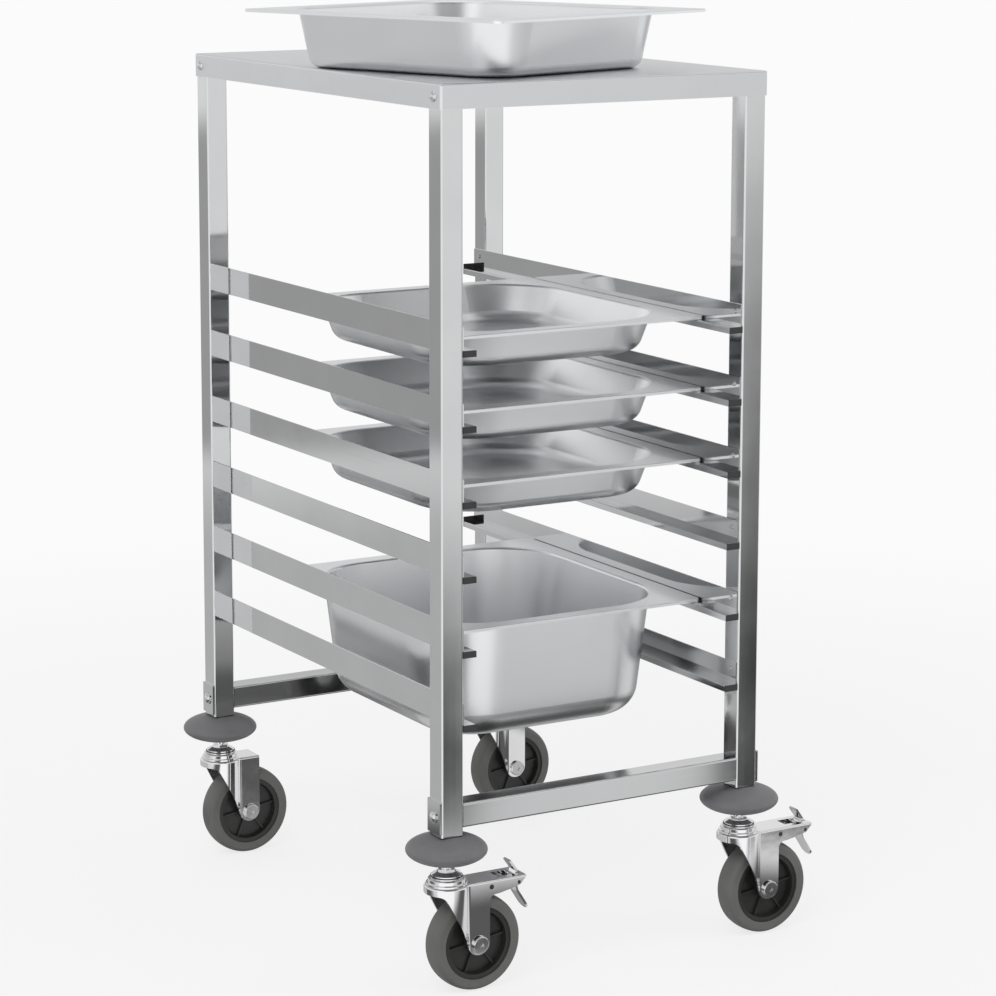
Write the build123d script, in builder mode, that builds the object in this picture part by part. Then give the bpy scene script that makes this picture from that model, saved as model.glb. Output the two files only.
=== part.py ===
from build123d import *
import math
import os

# Gastronorm tray trolley. Millimetres, +Z up, front at -Y, origin on the floor under the
# middle of the whole object's box.

# Worktop
worktop_height = 917.0
worktop_sheet = 1.5
worktop_flange = 25.0
worktop_corner_radius = 3.0
worktop_edge_radius = 2.0

# Posts, square tube, with the frame's depth measured over their outer faces
frame_depth = 550.0
post_size = 25.0
post_wall = 1.5
post_corner_radius = 2.0
post_bottom = 166.0
post_top_gap = 0.8

# Cross bars between the posts, one in front and one behind
bar_height = 25.0
bar_thickness = 25.0
bar_wall = 1.5
bar_corner_radius = 2.0
bar_bottom = 173.5
bar_insert_length = 14.0

# Strap plates that back the lower bolts
strap_thickness = 2.2
strap_height = 34.0
strap_edge_radius = 1.0

# Tray rails
rail_levels = 6
rail_pitch = 75.5
rail_web_height = 29.5
rail_sheet = 1.4
ledge_width = 15.0
ledge_height = 6.5
ledge_bend_radius = 0.8
top_rail_bottom = 649.0
plug_face = 1.5
plug_length = 9.0
plug_clearance = 0.1
plug_edge_radius = 0.4
rear_stop_height = 12.0

# Screws of the rails, one at each post
rail_screw_height = 21.5
rail_screw_radius = 1.6
rail_screw_head_radius = 2.6
rail_screw_head_height = 1.2
rail_screw_length = 5.0

# Bolts of the worktop and of the cross bars
bolt_radius = 3.0
bolt_head_radius = 5.5
bolt_head_height = 3.0
worktop_bolt_drop = 13.0
worktop_bolt_grip = 10.0
washer_radius = 7.0
washer_thickness = 1.0
hole_clearance = 0.1

# Gastronorm pans, with rims all of one plan size
pan_width = 325.0
pan_length = 354.0
pan_sheet = 1.0
pan_rim_lip = 3.2
pan_rim_corner_radius = 8.0
pan_rim_edge_radius = 0.8
pan_rim_bend_radius = 2.5
pan_side_gap = 1.1
pan_seat_clearance = 0.3
rail_pan_rim_width = 19.0
rail_pan_corner_radius = 78.0
shallow_pan_depth = 40.0
shallow_pan_taper = 20.0
shallow_pan_bottom_radius = 16.0
deep_pan_depth = 129.0
deep_pan_taper = 7.0
deep_pan_bottom_radius = 30.0
loose_pan_rim_width = 25.5
loose_pan_corner_radius = 55.0
loose_pan_depth = 60.0
loose_pan_taper = 12.0
loose_pan_bottom_radius = 12.0
shallow_pan_levels = (1, 2, 3)
deep_pan_level = 5
rail_pan_back_gap = 131.0
loose_pan_aside = -42.0
loose_pan_forward = 85.0
loose_pan_turn = 17.8

# Corner bumpers
bumper_radius = 41.5
bumper_height = 30.0
bumper_middle = 150.5

# Caster stems and swivel bearings
stem_radius = 5.4
stem_clearance = 0.06
socket_depth = 14.0
socket_flange = 0.5
stem_nut_radius = 9.5
stem_nut_height = 2.6
dome_radius = 16.0
dome_top_radius = 9.8
dome_bottom = 123.8
dome_edge = 1.2
dome_height = 4.0
kingpin_radius = 6.0
kingpin_clearance = 0.06
kingpin_head_radius = 9.0
kingpin_head_height = 2.5
running_gap = 0.3
seal_radius = 16.5
seal_inner_radius = 13.4
ball_radius = 3.0
ball_circle_radius = 9.7
ball_count = 9

# Caster forks
fork_sheet = 2.5
fork_top = 114.6
fork_crown_radius = 23.0
fork_leg_half_width = 16.0
fork_leg_reach = 41.4
fork_leg_bottom = 39.0
fork_leg_end_radius = 12.6
fork_edge_radius = 2.2
fork_front_edge_low = (7.1, 69.0)
fork_front_edge_high = (-12.0, 105.0)
fork_brow_height = 106.5
fork_brow_radius = 9.0
fork_waist_radius = 6.0
fork_toe = 20.5
race_step_radius = 21.0
race_step_height = 2.2
race_cup_radius = 19.0
race_cup_wall = 2.2
race_edge_radius = 0.6

# Wheels
wheel_radius = 50.0
wheel_half_width = 12.5
wheel_trail = 30.0
tread_crown = 1.6
tyre_shoulder_radius = 5.0
hub_radius = 38.0
hub_rim_radius = 33.0
hub_rim_half_width = 11.0
hub_web_half_width = 4.0
hub_boss_radius = 10.0
hub_side_clearance = 0.3
hub_rib_count = 6
hub_rib_half_width = 7.0
hub_rib_thickness = 2.0
hub_rib_start = 8.0
hub_web_draft = 1.5
axle_radius = 4.0
spacer_radius = 6.0
axle_clearance = 0.06
axle_head_radius = 8.75
axle_head_height = 3.4
axle_head_edge_radius = 1.2
axle_socket_radius = 2.9
axle_socket_depth = 1.8
axle_nut_radius = 7.5
axle_nut_height = 5.0
axle_thread_end = 1.5

# Brakes of the two front casters, with places measured from the swivel axis and the floor
arm_reach = 84.0
arm_tip_depth = 1.6
arm_throat_height = 99.4
arm_lower_edge = ((52.0, 100.0), (63.0, 102.0), (77.0, 105.4))
arm_throat_radius = 7.0
slot_start = 55.0
slot_end = 82.0
slot_half_width = 7.4
lever_pivot = (75.5, 108.0)
lever_pin_radius = 1.8
lever_boss_radius = 4.6
lever_sheet = 2.4
lever_half_width = 6.4
tab_bend = (78.4, 117.0)
tab_tip = (70.6, 128.0)
tongue_half_width = 7.5
tongue_bend = (78.6, 96.0)
tongue_tip = (91.8, 75.2)
nose_tip = (67.2, 104.2)
shoe_pivot = (43.4, 107.9)
shoe_pin_radius = 2.5
shoe_boss_radius = 3.8
shoe_half_width = 9.0
shoe_sheet = 2.0
shoe_pad_end = 40.0
shoe_pad_angle = 17.0
shoe_tail_end = 69.0
shoe_gap = 0.4
pin_recess = 0.5

# Places that follow from the sizes above. The pans' standard width sets the width over the posts.
frame_width = pan_width + 2 * (pan_side_gap + rail_sheet + post_size)
quarter_turn = 90.0
post_x = (frame_width - post_size) / 2
post_y = (frame_depth - post_size) / 2
post_top = worktop_height - worktop_sheet - post_top_gap
post_inner_x = frame_width / 2 - post_size
post_outer_y = frame_depth / 2
bar_middle = bar_bottom + bar_height / 2
rail_half_length = post_outer_y - plug_face
rail_inner_x = post_inner_x - rail_sheet
axle_height = wheel_radius
race_top = fork_top + 2 * running_gap + 2 * ball_radius
stem_top = post_bottom + socket_depth
loose_turn = math.radians(loose_pan_turn)
rim_corner_x = pan_width / 2 - pan_rim_corner_radius
rim_corner_y = pan_length / 2 - pan_rim_corner_radius
loose_pan_half_x = (
    rim_corner_x * math.cos(loose_turn) + rim_corner_y * math.sin(loose_turn) + pan_rim_corner_radius
)
tongue_fall = tongue_bend[1] - tongue_tip[1]
tongue_run = tongue_tip[0] - tongue_bend[0]
tongue_end_x = tongue_tip[0] + lever_sheet / 2 * tongue_fall / math.hypot(tongue_run, tongue_fall)
left_reach = max(post_x + bumper_radius, loose_pan_half_x - loose_pan_aside)
right_reach = max(post_x + tongue_end_x, loose_pan_half_x + loose_pan_aside)
frame_x = (left_reach - right_reach) / 2
corners = {
    "front_left": (-1, -1),
    "front_right": (1, -1),
    "rear_left": (-1, 1),
    "rear_right": (1, 1),
}
braked_corners = ("front_left", "front_right")


def corner_place(corner):
    """Centre of the post at one corner."""
    side, end = corners[corner]
    return frame_x + side * post_x, end * post_y


def rail_bottom(level):
    """Height of the underside of the rail at one level, counted from the top."""
    return top_rail_bottom - (level - 1) * rail_pitch


def ledge_top(level):
    """Height of the face that carries the pans at one level."""
    return rail_bottom(level) + ledge_height


def side_plane(x, side):
    """Plane across X at x, looking out on the given side, with its local x along Y."""
    return Plane(origin=(x, 0, 0), x_dir=(0, side, 0), z_dir=(side, 0, 0))


def make_worktop():
    """Folded lid with a flange all round, open below."""
    width = frame_width + 2 * worktop_sheet
    depth = frame_depth + 2 * worktop_sheet
    with BuildPart() as worktop:
        with BuildSketch(Plane.XY.offset(worktop_height)) as outline:
            with Locations((frame_x, 0)):
                RectangleRounded(width, depth, worktop_corner_radius)
        extrude(amount=-worktop_flange)
        top_face = worktop.faces().sort_by(Axis.Z)[-1]
        fillet(top_face.edges(), worktop_edge_radius)
        with BuildSketch(Plane.XY.offset(worktop_height - worktop_flange)) as hollow:
            with Locations((frame_x, 0)):
                RectangleRounded(frame_width, frame_depth, worktop_corner_radius - worktop_sheet)
        extrude(amount=worktop_flange - worktop_sheet, mode=Mode.SUBTRACT)
        for side in (-1, 1):
            face_x = frame_x + side * width / 2
            with BuildSketch(side_plane(face_x, side)) as bolt_holes:
                with Locations(
                    (-post_y, worktop_height - worktop_bolt_drop),
                    (post_y, worktop_height - worktop_bolt_drop),
                ):
                    Circle(bolt_radius + hole_clearance)
            extrude(amount=-2 * worktop_sheet, mode=Mode.SUBTRACT)
    worktop.part.label = "worktop"
    export_step(worktop.part, "parts/worktop.step")


def make_post(corner):
    """Square tube with holes for the worktop bolt, the cross bar bolt and the rail screws."""
    side = corners[corner][0]
    x, y = corner_place(corner)
    with BuildPart() as post:
        with BuildSketch(Plane.XY.offset(post_bottom)) as section:
            with Locations((x, y)):
                RectangleRounded(post_size, post_size, post_corner_radius)
                bore = post_size - 2 * post_wall
                RectangleRounded(bore, bore, post_corner_radius - post_wall, mode=Mode.SUBTRACT)
        extrude(amount=post_top - post_bottom)
        with BuildSketch(side_plane(x + side * post_size / 2, side)) as outer_hole:
            with Locations((side * y, worktop_height - worktop_bolt_drop)):
                Circle(bolt_radius + hole_clearance)
        extrude(amount=-2 * post_wall, mode=Mode.SUBTRACT)
        with BuildSketch(side_plane(x + side * post_size / 2, side)) as through_hole:
            with Locations((side * y, bar_middle)):
                Circle(bolt_radius + hole_clearance)
        extrude(amount=-post_size, mode=Mode.SUBTRACT)
        with BuildSketch(side_plane(x - side * post_size / 2, -side)) as screw_holes:
            for level in range(1, rail_levels + 1):
                with Locations((-side * y, rail_bottom(level) + rail_screw_height)):
                    Circle(rail_screw_radius + hole_clearance)
        extrude(amount=-2 * post_wall, mode=Mode.SUBTRACT)
    post.part.label = f"post_{corner}"
    export_step(post.part, f"parts/post_{corner}.step")


def make_cross_bar(name, end):
    """Square tube between two posts, with a threaded insert in each end."""
    y = end * (post_outer_y - bar_thickness / 2)
    with BuildPart() as cross_bar:
        with BuildSketch(Plane.YZ.offset(frame_x - post_inner_x)) as section:
            with Locations((y, bar_middle)):
                RectangleRounded(bar_thickness, bar_height, bar_corner_radius)
                RectangleRounded(
                    bar_thickness - 2 * bar_wall,
                    bar_height - 2 * bar_wall,
                    bar_corner_radius - bar_wall,
                    mode=Mode.SUBTRACT,
                )
        extrude(amount=2 * post_inner_x)
        for side in (-1, 1):
            insert_face = frame_x + side * post_inner_x
            with BuildSketch(side_plane(insert_face, side)) as insert:
                with Locations((side * y, bar_middle)):
                    RectangleRounded(
                        bar_thickness - 2 * bar_wall - 2 * plug_clearance,
                        bar_height - 2 * bar_wall - 2 * plug_clearance,
                        bar_corner_radius - bar_wall,
                    )
                with Locations((side * end * post_y, bar_middle)):
                    Circle(bolt_radius + hole_clearance, mode=Mode.SUBTRACT)
            extrude(amount=-bar_insert_length)
    cross_bar.part.label = name
    export_step(cross_bar.part, f"parts/{name}.step")


def make_strap_plates():
    """Four plates on the outer sides of the posts, under the lower bolts."""
    with BuildPart() as strap_plates:
        for corner, (side, _) in corners.items():
            x, y = corner_place(corner)
            with BuildSketch(side_plane(x + side * post_size / 2, side)) as plate:
                with Locations((side * y, bar_middle)):
                    RectangleRounded(post_size, strap_height, strap_edge_radius)
                    Circle(bolt_radius + hole_clearance, mode=Mode.SUBTRACT)
            extrude(amount=strap_thickness)
    strap_plates.part.label = "strap_plates"
    export_step(strap_plates.part, "parts/strap_plates.step")


def make_rail(side, level):
    """Folded rail: a web on the posts, a ledge for the pans and a lip down."""
    hand = "left" if side < 0 else "right"
    low = rail_bottom(level)
    ledge_x = post_inner_x - ledge_width
    with BuildPart() as rail:
        with BuildSketch(Plane.XZ.offset(-rail_half_length)) as section:
            with BuildLine() as outline:
                Polyline(
                    (frame_x + side * rail_inner_x, low),
                    (frame_x + side * rail_inner_x, low + ledge_height - rail_sheet),
                    (frame_x + side * (ledge_x + rail_sheet), low + ledge_height - rail_sheet),
                    (frame_x + side * (ledge_x + rail_sheet), low),
                    (frame_x + side * ledge_x, low),
                    (frame_x + side * ledge_x, low + ledge_height),
                    (frame_x + side * rail_inner_x, low + ledge_height),
                    (frame_x + side * rail_inner_x, low + rail_web_height),
                    (frame_x + side * post_inner_x, low + rail_web_height),
                    (frame_x + side * post_inner_x, low),
                    close=True,
                )
            make_face()
            ledge_edge = (frame_x + side * ledge_x, low + ledge_height)
            fillet(section.vertices().sort_by_distance(ledge_edge)[0], ledge_bend_radius)
        extrude(amount=2 * rail_half_length)
        for end in (-1, 1):
            with BuildSketch(side_plane(frame_x + side * rail_inner_x, side)) as screw_hole:
                with Locations((side * end * post_y, low + rail_screw_height)):
                    Circle(rail_screw_radius + hole_clearance)
            extrude(amount=rail_sheet, mode=Mode.SUBTRACT)
    rail.part.label = f"rail_{hand}_{level}"
    export_step(rail.part, f"parts/rail_{hand}_{level}.step")


def make_rail_end_plugs():
    """Plastic plugs in the rail ends. The rear ones stand up as stops for the pans."""
    insert_width = ledge_width - 2 * rail_sheet - 2 * plug_clearance
    insert_height = ledge_height - rail_sheet - plug_clearance
    with BuildPart() as rail_end_plugs:
        for side in (-1, 1):
            middle_x = frame_x + side * (post_inner_x - ledge_width / 2)
            for level in range(1, rail_levels + 1):
                low = rail_bottom(level)
                for end, height in ((-1, ledge_height), (1, rear_stop_height)):
                    face_plane = Plane(
                        origin=(middle_x, end * rail_half_length, low),
                        x_dir=(-end, 0, 0),
                        z_dir=(0, end, 0),
                    )
                    with BuildSketch(face_plane) as face:
                        with Locations((0, height / 2)):
                            RectangleRounded(ledge_width, height, plug_edge_radius)
                    extrude(amount=plug_face)
                    with BuildSketch(face_plane) as insert:
                        with Locations((0, insert_height / 2)):
                            Rectangle(insert_width, insert_height)
                    extrude(amount=-plug_length)
    rail_end_plugs.part.label = "rail_end_plugs"
    export_step(rail_end_plugs.part, "parts/rail_end_plugs.step")


def make_rail_screws():
    """Pan-head screws through each rail web into the posts."""
    with BuildPart() as rail_screws:
        for side in (-1, 1):
            for end in (-1, 1):
                for level in range(1, rail_levels + 1):
                    place = (side * end * post_y, rail_bottom(level) + rail_screw_height)
                    with BuildSketch(side_plane(frame_x + side * rail_inner_x, side)) as head:
                        with Locations(place):
                            Circle(rail_screw_head_radius)
                    extrude(amount=-rail_screw_head_height)
                    with BuildSketch(side_plane(frame_x + side * rail_inner_x, side)) as shank:
                        with Locations(place):
                            Circle(rail_screw_radius)
                    extrude(amount=rail_screw_length)
    rail_screws.part.label = "rail_screws"
    export_step(rail_screws.part, "parts/rail_screws.step")


def make_frame_bolts():
    """Upper bolts of the worktop, and lower bolts of the cross bars with their washers."""
    cap_ball = (bolt_head_radius**2 + bolt_head_height**2) / (2 * bolt_head_height)
    cap_angle = math.degrees(math.asin(bolt_head_radius / cap_ball))
    lower_stack = washer_thickness + strap_thickness
    lower_grip = lower_stack + post_size + bar_insert_length
    bolts = (
        (worktop_sheet, worktop_height - worktop_bolt_drop, worktop_bolt_grip),
        (lower_stack, bar_middle, lower_grip),
    )
    with BuildPart() as frame_bolts:
        for corner, (side, _) in corners.items():
            x, y = corner_place(corner)
            for stand_off, height, grip in bolts:
                face_x = x + side * (post_size / 2 + stand_off)
                with BuildSketch(
                    Plane(origin=(face_x, y, height), x_dir=(side, 0, 0), z_dir=(0, -side, 0))
                ) as cap:
                    with BuildLine() as outline:
                        CenterArc((bolt_head_height - cap_ball, 0), cap_ball, 0, cap_angle)
                        Line((0, bolt_head_radius), (0, 0))
                        Line((0, 0), (bolt_head_height, 0))
                    make_face()
                revolve(axis=Axis((face_x, y, height), (1, 0, 0)))
                with BuildSketch(side_plane(face_x, side)) as shank:
                    with Locations((side * y, height)):
                        Circle(bolt_radius)
                extrude(amount=-grip)
    with BuildPart() as washers:
        for corner, (side, _) in corners.items():
            x, y = corner_place(corner)
            with BuildSketch(side_plane(x + side * (post_size / 2 + strap_thickness), side)) as ring:
                with Locations((side * y, bar_middle)):
                    Circle(washer_radius)
                    Circle(bolt_radius + hole_clearance, mode=Mode.SUBTRACT)
            extrude(amount=washer_thickness)
    bolts_and_washers = Compound(children=[*frame_bolts.part.solids(), *washers.part.solids()])
    bolts_and_washers.label = "frame_bolts"
    export_step(bolts_and_washers, "parts/frame_bolts.step")


def make_stem_sockets():
    """Plugs in the feet of the posts, bored for the caster stems."""
    bore = post_size - 2 * post_wall - 2 * plug_clearance
    with BuildPart() as stem_sockets:
        for corner in corners:
            x, y = corner_place(corner)
            with BuildSketch(Plane.XY.offset(post_bottom)) as block:
                with Locations((x, y)):
                    RectangleRounded(bore, bore, post_corner_radius - post_wall)
                    Circle(stem_radius + stem_clearance, mode=Mode.SUBTRACT)
            extrude(amount=socket_depth)
            with BuildSketch(Plane.XY.offset(post_bottom)) as flange:
                with Locations((x, y)):
                    RectangleRounded(post_size, post_size, post_corner_radius)
                    Circle(stem_radius + stem_clearance, mode=Mode.SUBTRACT)
            extrude(amount=-socket_flange)
    stem_sockets.part.label = "stem_sockets"
    export_step(stem_sockets.part, "parts/stem_sockets.step")


def make_bumper(corner):
    """Lens-shaped rubber disc on the caster stem, under the post."""
    x, y = corner_place(corner)
    with BuildPart() as bumper:
        with BuildSketch(Plane(origin=(x, y, 0), x_dir=(1, 0, 0), z_dir=(0, -1, 0))) as section:
            with BuildLine() as outline:
                EllipticalCenterArc(
                    (0, bumper_middle),
                    bumper_radius,
                    bumper_height / 2,
                    start_angle=-quarter_turn,
                    arc_size=2 * quarter_turn,
                )
                Line(
                    (0, bumper_middle - bumper_height / 2),
                    (0, bumper_middle + bumper_height / 2),
                )
            make_face()
        revolve(axis=Axis((x, y, 0), (0, 0, 1)))
        with BuildSketch(Plane.XY.offset(bumper_middle)) as bore:
            with Locations((x, y)):
                Circle(stem_radius + stem_clearance)
        extrude(amount=bumper_height, both=True, mode=Mode.SUBTRACT)
    bumper.part.label = f"bumper_{corner}"
    export_step(bumper.part, f"parts/bumper_{corner}.step")


def make_stem(corner):
    """Caster stem, domed head and kingpin in one turned piece, with the nut on the dome."""
    x, y = corner_place(corner)
    dome_top = dome_bottom + dome_height
    head_top = fork_top - fork_sheet - running_gap
    with BuildPart() as stem:
        with BuildSketch(Plane(origin=(x, y, 0), x_dir=(1, 0, 0), z_dir=(0, -1, 0))) as section:
            with BuildLine() as outline:
                Polyline(
                    (0, head_top - kingpin_head_height),
                    (kingpin_head_radius, head_top - kingpin_head_height),
                    (kingpin_head_radius, head_top),
                    (kingpin_radius, head_top),
                    (kingpin_radius, race_top),
                    (seal_inner_radius - running_gap, race_top),
                    (seal_inner_radius - running_gap, dome_bottom),
                    (dome_radius, dome_bottom),
                    (dome_radius, dome_bottom + dome_edge),
                    (dome_top_radius, dome_top),
                    (stem_radius, dome_top),
                    (stem_radius, stem_top),
                    (0, stem_top),
                    close=True,
                )
            make_face()
        revolve(axis=Axis((x, y, 0), (0, 0, 1)))
    with BuildPart() as nut:
        with BuildSketch(Plane(origin=(x, y, dome_top))) as hexagon:
            RegularPolygon(stem_nut_radius, 6)
            Circle(stem_radius + stem_clearance, mode=Mode.SUBTRACT)
        extrude(amount=stem_nut_height)
    stem_and_nut = Compound(children=[*stem.part.solids(), *nut.part.solids()])
    stem_and_nut.label = f"stem_{corner}"
    export_step(stem_and_nut, f"parts/stem_{corner}.step")


def make_swivel_bearings():
    """Ball ring and seal of each swivel head."""
    with BuildPart() as swivel_bearings:
        for corner in corners:
            x, y = corner_place(corner)
            with BuildSketch(Plane.XY.offset(race_top)) as seal:
                with Locations((x, y)):
                    Circle(seal_radius)
                    Circle(seal_inner_radius, mode=Mode.SUBTRACT)
            extrude(amount=dome_bottom - race_top)
            with Locations((x, y, fork_top + running_gap + ball_radius)):
                with PolarLocations(ball_circle_radius, ball_count):
                    Sphere(ball_radius)
    swivel_bearings.part.label = "swivel_bearings"
    export_step(swivel_bearings.part, "parts/swivel_bearings.step")


def make_fork(corner):
    """Pressed caster fork. On a braked caster its top runs on as a channel for the brake."""
    x, y = corner_place(corner)
    braked = corner in braked_corners
    reach = arm_reach if braked else fork_leg_reach
    side_view = Plane(origin=(x, y, 0), x_dir=(1, 0, 0), z_dir=(0, -1, 0))
    with BuildPart() as fork:
        with BuildSketch(Plane(origin=(x, y, fork_top))) as plan:
            Circle(fork_crown_radius)
            with Locations((reach / 2, 0)):
                Rectangle(reach, 2 * fork_leg_half_width)
            fillet(plan.vertices().sort_by(Axis.X)[:2], fork_waist_radius)
        extrude(amount=-(fork_top - fork_leg_bottom))
        top_edges = fork.faces().sort_by(Axis.Z)[-1].edges()
        fillet(top_edges.sort_by(Axis.X)[:-1], fork_edge_radius)
        with BuildSketch(Plane(origin=(x, y, fork_top - fork_sheet))) as hollow:
            Circle(fork_crown_radius - fork_sheet)
            with Locations((reach / 2 + fork_sheet, 0)):
                Rectangle(reach + 2 * fork_sheet, 2 * (fork_leg_half_width - fork_sheet))
            fillet(hollow.vertices().sort_by(Axis.X)[:2], fork_waist_radius + fork_sheet)
        extrude(amount=-(fork_top - fork_leg_bottom), mode=Mode.SUBTRACT)
        with BuildSketch(side_view) as side_outline:
            front_slope = (fork_front_edge_high[0] - fork_front_edge_low[0]) / (
                fork_front_edge_high[1] - fork_front_edge_low[1]
            )
            brow_x = fork_front_edge_high[0] + front_slope * (fork_brow_height - fork_front_edge_high[1])
            behind_leg = [(fork_leg_reach, fork_top + race_step_height)]
            if braked:
                behind_leg = [
                    (fork_leg_reach, arm_throat_height),
                    *arm_lower_edge,
                    (arm_reach, fork_top - arm_tip_depth),
                    (arm_reach, fork_top + race_step_height),
                ]
            with BuildLine() as outline:
                Polyline(
                    (-fork_crown_radius - fork_sheet, fork_top + race_step_height),
                    (-fork_crown_radius - fork_sheet, fork_brow_height),
                    (brow_x, fork_brow_height),
                    fork_front_edge_low,
                    (fork_toe, fork_leg_bottom),
                    (fork_leg_reach, fork_leg_bottom),
                    *behind_leg,
                    close=True,
                )
            make_face()
            toe = (fork_toe, fork_leg_bottom)
            heel = (fork_leg_reach, fork_leg_bottom)
            brow = (brow_x, fork_brow_height)
            throat = (fork_leg_reach, arm_throat_height)
            fillet(side_outline.vertices().sort_by_distance(toe)[0], fork_leg_end_radius)
            fillet(side_outline.vertices().sort_by_distance(heel)[0], fork_leg_end_radius)
            fillet(side_outline.vertices().sort_by_distance(brow)[0], fork_brow_radius)
            if braked:
                fillet(side_outline.vertices().sort_by_distance(throat)[0], arm_throat_radius)
        extrude(amount=fork_crown_radius + fork_sheet, both=True, mode=Mode.INTERSECT)
        with BuildSketch(Plane(origin=(x, y, fork_top - fork_sheet / 2))) as step:
            Circle(race_step_radius)
        extrude(amount=race_step_height + fork_sheet / 2)
        fillet(fork.faces().sort_by(Axis.Z)[-1].edges(), race_edge_radius)
        with BuildSketch(Plane(origin=(x, y, fork_top))) as cup:
            Circle(race_cup_radius)
        extrude(amount=race_top - running_gap - fork_top)
        fillet(fork.faces().sort_by(Axis.Z)[-1].edges(), race_edge_radius)
        with BuildSketch(Plane(origin=(x, y, fork_top))) as cup_hollow:
            Circle(race_cup_radius - race_cup_wall)
        extrude(amount=race_top - fork_top, mode=Mode.SUBTRACT)
        with BuildSketch(Plane(origin=(x, y, fork_top))) as kingpin_hole:
            Circle(kingpin_radius + kingpin_clearance)
        extrude(amount=-2 * fork_sheet, mode=Mode.SUBTRACT)
        with BuildSketch(side_view) as cross_holes:
            with Locations((wheel_trail, axle_height)):
                Circle(axle_radius + hole_clearance)
            if braked:
                with Locations(shoe_pivot):
                    Circle(shoe_pin_radius + hole_clearance)
                with Locations(lever_pivot):
                    Circle(lever_pin_radius + hole_clearance)
        extrude(amount=fork_crown_radius, both=True, mode=Mode.SUBTRACT)
        if braked:
            with BuildSketch(Plane(origin=(x, y, fork_top))) as slot:
                with Locations(((slot_start + slot_end) / 2, 0)):
                    Rectangle(slot_end - slot_start, 2 * slot_half_width)
            extrude(amount=-2 * fork_sheet, mode=Mode.SUBTRACT)
    fork.part.label = f"fork_{corner}"
    export_step(fork.part, f"parts/fork_{corner}.step")


def make_axle(corner):
    """Axle bolt with a low head, its nut, and the spacer tube between the fork legs."""
    x, y = corner_place(corner)
    front_face = Plane(
        origin=(x + wheel_trail, y - fork_leg_half_width, axle_height),
        x_dir=(1, 0, 0),
        z_dir=(0, -1, 0),
    )
    rear_face = Plane(
        origin=(x + wheel_trail, y + fork_leg_half_width, axle_height),
        x_dir=(-1, 0, 0),
        z_dir=(0, 1, 0),
    )
    inner_half_gap = fork_leg_half_width - fork_sheet
    with BuildPart() as bolt:
        with BuildSketch(front_face) as head:
            Circle(axle_head_radius)
        extrude(amount=axle_head_height)
        fillet(bolt.faces().sort_by(Axis.Y)[0].edges(), axle_head_edge_radius)
        with BuildSketch(front_face.offset(axle_head_height)) as key_socket:
            RegularPolygon(axle_socket_radius, 6)
        extrude(amount=-axle_socket_depth, mode=Mode.SUBTRACT)
        with BuildSketch(front_face) as shank:
            Circle(axle_radius)
        extrude(amount=-(2 * fork_leg_half_width + axle_nut_height + axle_thread_end))
    with BuildPart() as nut:
        with BuildSketch(rear_face) as hexagon:
            RegularPolygon(axle_nut_radius, 6)
            Circle(axle_radius + hole_clearance, mode=Mode.SUBTRACT)
        extrude(amount=axle_nut_height)
    with BuildPart() as spacer:
        with BuildSketch(front_face.offset(-fork_sheet)) as ring:
            Circle(spacer_radius)
            Circle(axle_radius + hole_clearance, mode=Mode.SUBTRACT)
        extrude(amount=-2 * inner_half_gap)
    axle = Compound(children=[*bolt.part.solids(), *nut.part.solids(), *spacer.part.solids()])
    axle.label = f"axle_{corner}"
    export_step(axle, f"parts/axle_{corner}.step")


def wheel_section(corner):
    """Plane through a wheel's axle, with its local x along the axle and local y upwards."""
    x, y = corner_place(corner)
    return Plane(origin=(x + wheel_trail, y, axle_height), x_dir=(0, 1, 0), z_dir=(1, 0, 0))


def make_hub(corner):
    """Plastic wheel centre with a boss, a dished web with ribs, and a rim."""
    x, y = corner_place(corner)
    axle_line = Axis((x + wheel_trail, y, axle_height), (0, 1, 0))
    boss_half = fork_leg_half_width - fork_sheet - hub_side_clearance
    bore_radius = spacer_radius + axle_clearance
    with BuildPart() as hub:
        with BuildSketch(wheel_section(corner)) as section:
            with BuildLine() as outline:
                Polyline(
                    (-boss_half, bore_radius),
                    (-boss_half, hub_boss_radius),
                    (-hub_web_half_width, hub_boss_radius + hub_web_draft),
                    (-hub_web_half_width, hub_rim_radius - hub_web_draft),
                    (-hub_rim_half_width, hub_rim_radius),
                    (-hub_rim_half_width, hub_radius),
                    (hub_rim_half_width, hub_radius),
                    (hub_rim_half_width, hub_rim_radius),
                    (hub_web_half_width, hub_rim_radius - hub_web_draft),
                    (hub_web_half_width, hub_boss_radius + hub_web_draft),
                    (boss_half, hub_boss_radius),
                    (boss_half, bore_radius),
                    close=True,
                )
            make_face()
        revolve(axis=axle_line)
        rib_length = hub_rim_radius - hub_boss_radius
        rib_middle = (hub_rim_radius + hub_boss_radius) / 2
        with BuildSketch(
            Plane(origin=(x + wheel_trail, y, axle_height), x_dir=(1, 0, 0), z_dir=(0, -1, 0))
        ) as ribs:
            with PolarLocations(rib_middle, hub_rib_count, start_angle=hub_rib_start):
                Rectangle(rib_length, hub_rib_thickness)
        extrude(amount=hub_rib_half_width, both=True)
    hub.part.label = f"hub_{corner}"
    export_step(hub.part, f"parts/hub_{corner}.step")


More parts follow.
